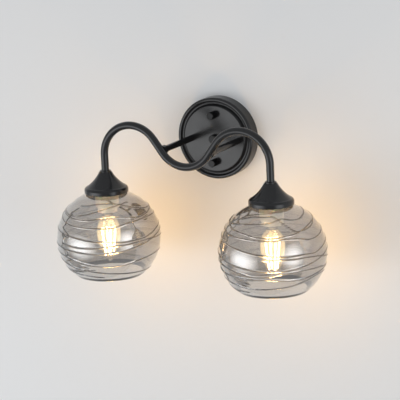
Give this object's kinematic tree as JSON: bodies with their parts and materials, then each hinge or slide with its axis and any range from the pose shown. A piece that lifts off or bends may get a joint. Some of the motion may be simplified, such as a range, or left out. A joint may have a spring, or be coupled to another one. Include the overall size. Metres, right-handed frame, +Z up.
{
  "type": "double arm wall sconce",
  "caption": "Wall light: a round pressed canopy carries a wave-shaped tube on stand-off rods, with bell caps and open smoked glass shades over candle bulbs.",
  "frame": {"origin": "centre of the canopy's back, on the wall", "axes": "+X to the right as one faces the wall, +Y into the wall, +Z up"},
  "size_m": [0.4146, 0.1913, 0.2487],
  "materials": {
    "black_paint": "satin powder coat",
    "black_gloss": "semi-gloss enamel",
    "steel": "zinc plated",
    "brass": "bright",
    "white_plastic": "moulded",
    "smoke_glass": "smoke-grey, half silvered",
    "clear_glass": "clear",
    "cap_nickel": "nickel plated",
    "filament": "warm white, glowing",
    "lead_sheath": "smooth"
  },
  "bodies": {
    "fixture": {"block_screw": "steel", "canopy": "black_paint", "canopy_screws": "steel", "centre_plug": "black_gloss", "centre_plug_nut": "steel", "clamp_screws": "steel", "cup_lock_nuts": "steel", "earth_screw": "brass", "earth_washer": "brass", "left_centre_contact": "brass", "left_collar": "black_paint", "left_cup": "black_paint", "left_glass_shade": "smoke_glass", "left_knuckle": "black_paint", "left_lampholder": "white_plastic", "left_lead": "lead_sheath", "left_rod": "black_paint", "left_screw_shell": "brass", "right_centre_contact": "brass", "right_collar": "black_paint", "right_cup": "black_paint", "right_glass_shade": "smoke_glass", "right_knuckle": "black_paint", "right_lampholder": "white_plastic", "right_lead": "lead_sheath", "right_rod": "black_paint", "right_screw_shell": "brass", "rod_lock_nuts": "steel", "rod_washers": "steel", "screw_lock_nuts": "steel", "terminal_block": "white_plastic", "wall_bracket": "steel", "wave_tube": "black_paint"},
    "top_cap_nut": {"top_cap_nut": "black_gloss"},
    "bottom_cap_nut": {"bottom_cap_nut": "black_gloss"},
    "left_ring": {"left_shade_ring": "white_plastic"},
    "left_bulb": {"left_bulb_cap": "cap_nickel", "left_bulb_glass": "clear_glass", "left_bulb_stem": "clear_glass", "left_filament_wires": "steel", "left_filaments": "filament"},
    "right_ring": {"right_shade_ring": "white_plastic"},
    "right_bulb": {"right_bulb_cap": "cap_nickel", "right_bulb_glass": "clear_glass", "right_bulb_stem": "clear_glass", "right_filament_wires": "steel", "right_filaments": "filament"}
  },
  "joints": [
    {"name": "top_cap_nut_turn", "type": "hinge", "parent": "fixture", "child": "top_cap_nut", "pos_m": [0, -0.0275, 0.035], "axis": [0, -1, 0], "continuous": true},
    {"name": "bottom_cap_nut_turn", "type": "hinge", "parent": "fixture", "child": "bottom_cap_nut", "pos_m": [0, -0.0275, -0.035], "axis": [0, -1, 0], "continuous": true},
    {"name": "left_shade_ring_turn", "type": "hinge", "parent": "fixture", "child": "left_ring", "pos_m": [-0.131, -0.115, -0.08], "axis": [0, 0, 1], "continuous": true},
    {"name": "right_shade_ring_turn", "type": "hinge", "parent": "fixture", "child": "right_ring", "pos_m": [0.131, -0.115, -0.08], "axis": [0, 0, 1], "continuous": true},
    {"name": "left_bulb_withdraw", "type": "slide", "parent": "fixture", "child": "left_bulb", "axis": [0, 0, -1], "range_m": [0, 0.12]},
    {"name": "right_bulb_withdraw", "type": "slide", "parent": "fixture", "child": "right_bulb", "axis": [0, 0, -1], "range_m": [0, 0.12]}
  ]
}
